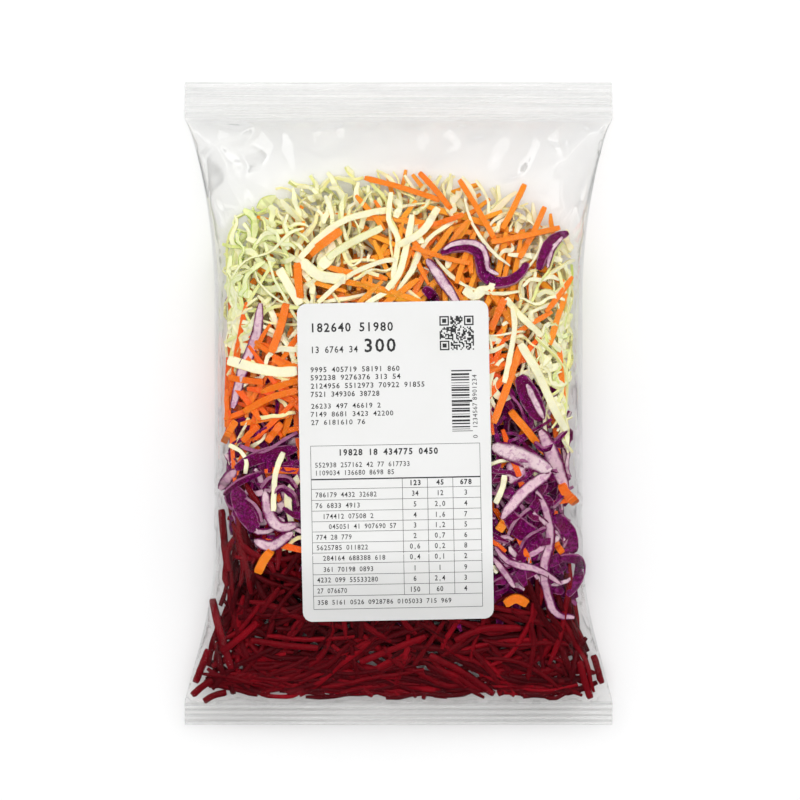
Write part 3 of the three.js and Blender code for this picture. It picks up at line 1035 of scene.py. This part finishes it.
def make_film():
    mesh = divided(bag_mesh, 2)
    folded(mesh)
    for polygon in mesh.polygons:
        polygon.use_smooth = True
    made = link("film", mesh)
    mesh.materials.clear()
    mesh.materials.append(finish("clear_film", film_surface))
    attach(made, "root")
    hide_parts("bag")


make_film()


# The label

def paper_surface(graph):
    place = object_place(graph)
    fibre = graph.noise(place, 1500, 4, 0.6)
    cloud = graph.noise(place, 40, 2)
    base = graph.blend(graph.step(cloud, 0.3, 0.8), colour(229, 229, 228), colour(226, 226, 224))
    return graph.add("ShaderNodeBsdfPrincipled", {}, {
        "Base Color": base, "Roughness": 0.45 + 0.15 * fibre, "Normal": bump(graph, fibre, 0.00003),
        "Coat Weight": 0.15, "Coat Roughness": 0.3})


def make_label():
    """The label's CAD shape with a smooth face and a crisp rim."""
    mesh = merged_copy("label")
    made = link("paper", mesh)
    shape = bmesh.new()
    shape.from_mesh(mesh)
    for face in shape.faces:
        face.smooth = True
    for edge in shape.edges:
        edge.smooth = edge.calc_face_angle(0) < 0.6
    shape.to_mesh(mesh)
    shape.free()
    mesh.materials.append(finish("label_paper", paper_surface))
    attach(made, "root")
    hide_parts("label")


make_label()


# The print: plain numbers, bars, squares and a ruled table

INK_RISE = 0.05  # height of the print over the paper, and its thickness
INK_THICKNESS = 0.03
print_rng = np.random.default_rng(44)


def on_label(px, py):
    """Place on the label, in mm from its middle along its own sides, of a point of the view."""
    x, y = photo(px, py)
    x -= LABEL_CENTRE[0]
    y -= LABEL_CENTRE[1]
    cosine, sine = math.cos(LABEL_TURN), math.sin(LABEL_TURN)
    return (cosine * x + sine * y, cosine * y - sine * x)


def text_mesh(body, weight):
    """Flat outline of some characters at size 1: points and faces."""
    curve = bpy.data.curves.new("characters", "FONT")
    curve.body = body
    curve.offset = weight
    curve.resolution_u = 2
    mesh = evaluated(link("characters", curve))
    points = np.array([v.co[:2] for v in mesh.vertices]).reshape(-1, 2)
    return points, [tuple(p.vertices) for p in mesh.polygons]


class Ink:
    """Flat marks in the label's own plane."""

    def __init__(self):
        self.points = []
        self.faces = []
        self.glyphs = {}

    def put(self, points, faces):
        start = len(self.points)
        self.points += [tuple(p) for p in points]
        self.faces += [tuple(start + k for k in face) for face in faces]

    def box(self, left, low, right, high):
        """A filled rectangle, cut up so that it follows the label."""
        across = max(1, math.ceil((right - left) / 3))
        up = max(1, math.ceil((high - low) / 3))
        points = [(left + (right - left) * i / across, low + (high - low) * j / up)
                  for j in range(up + 1) for i in range(across + 1)]
        wide = across + 1
        faces = [(j * wide + i, j * wide + i + 1, (j + 1) * wide + i + 1, (j + 1) * wide + i)
                 for j in range(up) for i in range(across)]
        self.put(points, faces)

    def glyph(self, character, weight):
        key = (character, weight)
        if key not in self.glyphs:
            self.glyphs[key] = text_mesh(character, weight)
        return self.glyphs[key]

    def text(self, body, left, base, width, tall, weight=0.0, upright=True):
        """Characters of equal pitch that fill a width, standing on a base line."""
        height = self.glyph("8", weight)[0][:, 1].max()
        pitch = width / len(body)
        glyph_width = np.ptp(self.glyph("0", weight)[0][:, 0])
        stretch = pitch * 0.8 / glyph_width
        for place, character in enumerate(body):
            if character == " ":
                continue
            points, faces = self.glyph(character, weight)
            middle = (points[:, 0].max() + points[:, 0].min()) / 2
            u = (points[:, 0] - middle) * stretch + (place + 0.5) * pitch
            v = points[:, 1] * tall / height
            if upright:
                self.put(np.stack([left + u, base + v], axis=1), faces)
            else:
                self.put(np.stack([left - v, base + u], axis=1), faces)

    def centred(self, body, middle, base, pitch, tall, weight):
        self.text(body, middle - pitch / 2 * len(body), base, pitch * len(body), tall, weight)

    def build(self, name, material):
        cosine, sine = math.cos(LABEL_TURN), math.sin(LABEL_TURN)
        placed = []
        for u, v in self.points:
            x = (LABEL_CENTRE[0] + cosine * u - sine * v) * MM
            y = (LABEL_CENTRE[1] + sine * u + cosine * v) * MM
            hit = label_tree.ray_cast(Vector((x, y, 1)), Vector((0, 0, -1)))[0]
            placed.append((x, y, hit.z + INK_RISE * MM))
        made = link(name, mesh_of(name, placed, faces=self.faces))
        thicken = made.modifiers.new("thickness", "SOLIDIFY")
        thicken.thickness = INK_THICKNESS * MM
        thicken.offset = -1
        made.data.materials.append(material)
        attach(made, "root")


def numbers(count):
    """Groups of digits, with single spaces between them, count characters long."""
    body = ""
    while len(body) < count:
        group = min(int(print_rng.integers(2, 8)), count - len(body))
        body += "".join(str(d) for d in print_rng.integers(0, 10, group)) + " "
    body = body[:count]
    return body[:-1] + "0" if body.endswith(" ") else body


# Lines of print: left, right and base line in the view, height in mm, weight, characters
LINES = [
    (309.8, 393.8, 332.6, 4.1, 0.02, 12), (310.6, 358.5, 353.4, 3.0, 0.012, 10),
    (310.6, 400.0, 372.6, 2.4, 0.014, 21), (310.6, 400.8, 380.5, 2.4, 0.014, 21),
    (311.0, 425.0, 388.8, 2.4, 0.014, 27), (311.0, 380.0, 397.0, 2.4, 0.014, 17),
    (311.4, 381.3, 408.7, 2.3, 0.01, 17), (311.0, 393.8, 416.8, 2.3, 0.01, 20),
    (311.4, 365.9, 424.9, 2.3, 0.01, 13), (338.2, 438.2, 455.1, 2.9, 0.03, 20),
    (315.2, 410.2, 467.3, 2.3, 0.008, 26), (315.2, 394.6, 475.1, 2.3, 0.008, 22),
    (317.6, 451.6, 604.1, 2.2, 0.008, 37),
]
FIGURE = (363.0, 397.0, 352.3, 6.2, 0.018)  # the large number, in the same order
TABLE_CORNERS = ((311.1, 445.9), (314.2, 608.7))  # left top and left bottom, in the view
TABLE_WIDTH = 78.2
THIN_LINE = 0.2
BOLD_LINE = 0.6
RULES = (403.4, 428.4, 453.6)  # upright lines
HEAD_RULE = 479.2
RULE_START = 313
RULE_MIDDLE = 540
ROW_PRINT = (2.9, 2.3, 0.008)  # pixels from a row's line up to its text, height in mm, weight
CELL_PRINT = (1.7, 2.4, 0.012)  # width and height of a character in mm, weight
HEAD_PRINT = (1.9, 2.4, 0.03)
HEAD_BASE = (316, 2.5)  # where the head's text stands, and pixels from the first line up to it
ROWS = [488.8, 499.8, 510.5, 521.1, 531.2, 541.9, 552.3, 562.7, 573.9, 584.5, 595.4]
ROW_TEXT = [
    (315.8, 377.2, 17), (315.8, 360.7, 12), (322.8, 374.0, 14), (329.0, 396.7, 19), (316.6, 352.4, 10),
    (316.8, 368.6, 14), (323.3, 385.8, 17), (323.6, 374.0, 14), (317.4, 378.5, 17), (317.6, 347.7, 9),
]
COLUMNS = [415.1, 439.9, 465.5]
CELLS = [("34", "12", "3"), ("5", "2,0", "4"), ("4", "1,6", "7"), ("3", "1,2", "5"), ("2", "0,7", "6"),
         ("0,6", "0,2", "8"), ("0,4", "0,1", "2"), ("1", "1", "9"), ("6", "2,4", "3"), ("150", "60", "4")]
HEAD = ("123", "45", "678")
MATRIX = (439.0, 316.7, 473.0, 351.0)
MATRIX_CELLS = 25
CORNER_MARK = 7  # cells across
STRIPES = (450.8, 369.7, 469.8, 430.9)
STRIPE_CELLS = 95
GUARD = 1.2  # how much longer the bars at both ends and in the middle are
DIGITS = [("1234567", 1.2, 12.0), ("8901234", 14.2, 12.0), ("0", -3.4, 1.8)]  # their start and length
DIGIT_BASE = 3.4  # from the bars
DIGIT_HEIGHT = 2.1


def print_text(ink):
    for left, right, base, tall, weight, count in LINES:
        u, v = on_label(left, base)
        ink.text(numbers(count), u, v, (right - left) * PIXEL, tall, weight)
    left, right, base, tall, weight = FIGURE
    ink.text("300", *on_label(left, base), (right - left) * PIXEL, tall, weight)


def print_table(ink):
    left, high = on_label(*TABLE_CORNERS[0])
    low = on_label(*TABLE_CORNERS[1])[1]
    right = left + TABLE_WIDTH
    rows = [on_label(RULE_START, y)[1] for y in ROWS]
    top = on_label(RULE_START - 1, HEAD_RULE)[1]
    for u in (left, right):
        ink.box(u - THIN_LINE / 2, low, u + THIN_LINE / 2, high)
    for v in (low, high, *rows):
        ink.box(left, v - THIN_LINE / 2, right, v + THIN_LINE / 2)
    ink.box(left, top - BOLD_LINE / 2, right, top + BOLD_LINE / 2)
    for px in RULES:
        u = on_label(px, RULE_MIDDLE)[0]
        ink.box(u - THIN_LINE / 2, rows[-1], u + THIN_LINE / 2, top)
    for number, (start, end, count) in enumerate(ROW_TEXT):
        u, v = on_label(start, ROWS[number + 1] - ROW_PRINT[0])
        ink.text(numbers(count), u, v, (end - start) * PIXEL, *ROW_PRINT[1:])
        for middle, body in zip(COLUMNS, CELLS[number]):
            ink.centred(body, on_label(middle, ROWS[number + 1])[0], v, *CELL_PRINT)
    base = ROWS[0] - HEAD_BASE[1]
    for middle, body in zip(COLUMNS, HEAD):
        ink.centred(body, on_label(middle, base)[0], on_label(HEAD_BASE[0], base)[1], *HEAD_PRINT)


def print_matrix(ink):
    """A square of squares with a framed mark in three corners."""
    left, high = on_label(MATRIX[0], MATRIX[1])
    size = (MATRIX[2] - MATRIX[0]) * PIXEL / MATRIX_CELLS
    dark = print_rng.random((MATRIX_CELLS, MATRIX_CELLS)) < 0.5
    wide = CORNER_MARK + 1
    mark = np.zeros((wide, wide), bool)
    mark[:-1, :-1] = True
    mark[1:-2, 1:-2] = False
    mark[2:-3, 2:-3] = True
    dark[:wide, :wide] = mark
    dark[:wide, -wide:] = mark[:, ::-1]
    dark[-wide:, :wide] = mark[::-1]
    for row in range(MATRIX_CELLS):
        column = 0
        while column < MATRIX_CELLS:
            end = column
            while end < MATRIX_CELLS and dark[row, end]:
                end += 1
            if end > column:
                ink.box(left + column * size, high - (row + 1) * size, left + end * size, high - row * size)
            column = end + 1


def print_stripes(ink):
    """Bars of uneven width beside a row of digits."""
    left, high = on_label(STRIPES[0], STRIPES[1])
    right, low = on_label(STRIPES[2], STRIPES[3])
    pitch = (high - low) / STRIPE_CELLS
    at = 0
    while at < STRIPE_CELLS:
        bar = min(int(print_rng.integers(1, 4)), STRIPE_CELLS - at)
        guard = at < 3 or at > STRIPE_CELLS - 5 or abs(at - STRIPE_CELLS / 2) < 3
        ink.box(left, low + at * pitch, right + (GUARD if guard else 0), low + (at + bar) * pitch)
        at += bar + int(print_rng.integers(1, 4))
    for body, start, length in DIGITS:
        ink.text(body, right + DIGIT_BASE, low + start, length, DIGIT_HEIGHT, upright=False)


def ink_surface(graph):
    place = object_place(graph)
    speck = graph.noise(place, 2500, 3, 0.6)
    base = graph.blend(graph.step(speck, 0.6, 0.85) * 0.5, colour(14, 14, 17), colour(56, 56, 60))
    return graph.add("ShaderNodeBsdfPrincipled", {}, {"Base Color": base, "Roughness": 0.5 + 0.2 * speck})


def make_print():
    ink = Ink()
    print_text(ink)
    print_table(ink)
    print_matrix(ink)
    print_stripes(ink)
    ink.build("label_print", finish("print_ink", ink_surface))


make_print()


# The room

def studio_floor(graph):
    place = object_place(graph)
    cloud = graph.noise(place, 3, 2)
    base = graph.blend(cloud, (0.93, 0.93, 0.93, 1.0), (0.95, 0.95, 0.95, 1.0))
    return graph.add("ShaderNodeBsdfPrincipled", {}, {"Base Color": base, "Roughness": 0.7})


def area_light(name, place, side, power):
    """A square light that faces the bag."""
    light = bpy.data.lights.new(name, "AREA")
    light.size = side
    light.energy = power
    made = link(name, light)
    made.location = place
    made.rotation_euler = (-Vector(place)).to_track_quat("-Z", "Y").to_euler()


def make_floor(side=8.0):
    corners = [(-side, -side, 0), (side, -side, 0), (side, side, 0), (-side, side, 0)]
    floor = link("floor", mesh_of("floor", corners, faces=[(0, 1, 2, 3)]))
    floor.location = (0, 0, -0.3 * MM)
    floor.data.materials.append(finish("studio_floor", studio_floor))


def make_lights():
    """A bright field overhead, a strip and a softer box on each side, and a pale wall past the top seal."""
    world = bpy.data.worlds.new("studio")
    bpy.context.scene.world = world
    world.use_nodes = True
    world.node_tree.nodes.clear()
    graph = Graph(world.node_tree)
    direction = graph.add("ShaderNodeTexCoord", out="Generated")
    split = graph.add("ShaderNodeSeparateXYZ", {}, {0: direction}).source.node.outputs
    sideways, forward, rise = (Socket(graph, split[axis]) for axis in range(3))
    aside = abs(sideways)
    off_middle = graph.step(aside, 0.33, 0.38)
    strips = 1.8 * off_middle * (1 - graph.step(aside, 0.54, 0.6)) * graph.step(forward, -0.3, -0.2)
    boxes = 0.9 * graph.step(aside, 0.6, 0.7) * graph.step(rise, 0.1, 0.3)
    wall = 0.95 * graph.step(forward, 0.2, 0.35) * (1 - off_middle)
    overhead = 6.4 * graph.step(rise, 0.93, 0.985)
    strength = 0.16 + strips + boxes + wall + overhead
    light = graph.add("ShaderNodeBackground", {}, {"Strength": strength})
    graph.add("ShaderNodeOutputWorld", {}, {"Surface": light})
    area_light("softbox_left", (-1.3, 1.1, 1.5), 1.1, 2)
    area_light("softbox_right", (1.3, 0.9, 1.6), 1.1, 2)


def make_camera(sharp_height=0.02):
    """A long lens straight above, where the view's scale holds at a height over the floor."""
    data = bpy.data.cameras.new("camera")
    data.lens = 300
    data.sensor_width = 36
    view_width = VIEW_SIZE * PIXEL * MM
    camera = link("camera", data)
    x, y = photo(VIEW_SIZE / 2, VIEW_SIZE / 2)
    camera.location = (x * MM, y * MM, sharp_height + view_width * data.lens / data.sensor_width)
    bpy.context.scene.camera = camera


make_floor()
make_lights()
make_camera()
scene = bpy.context.scene
scene.view_settings.view_transform = "Standard"
scene.cycles.use_denoising = True
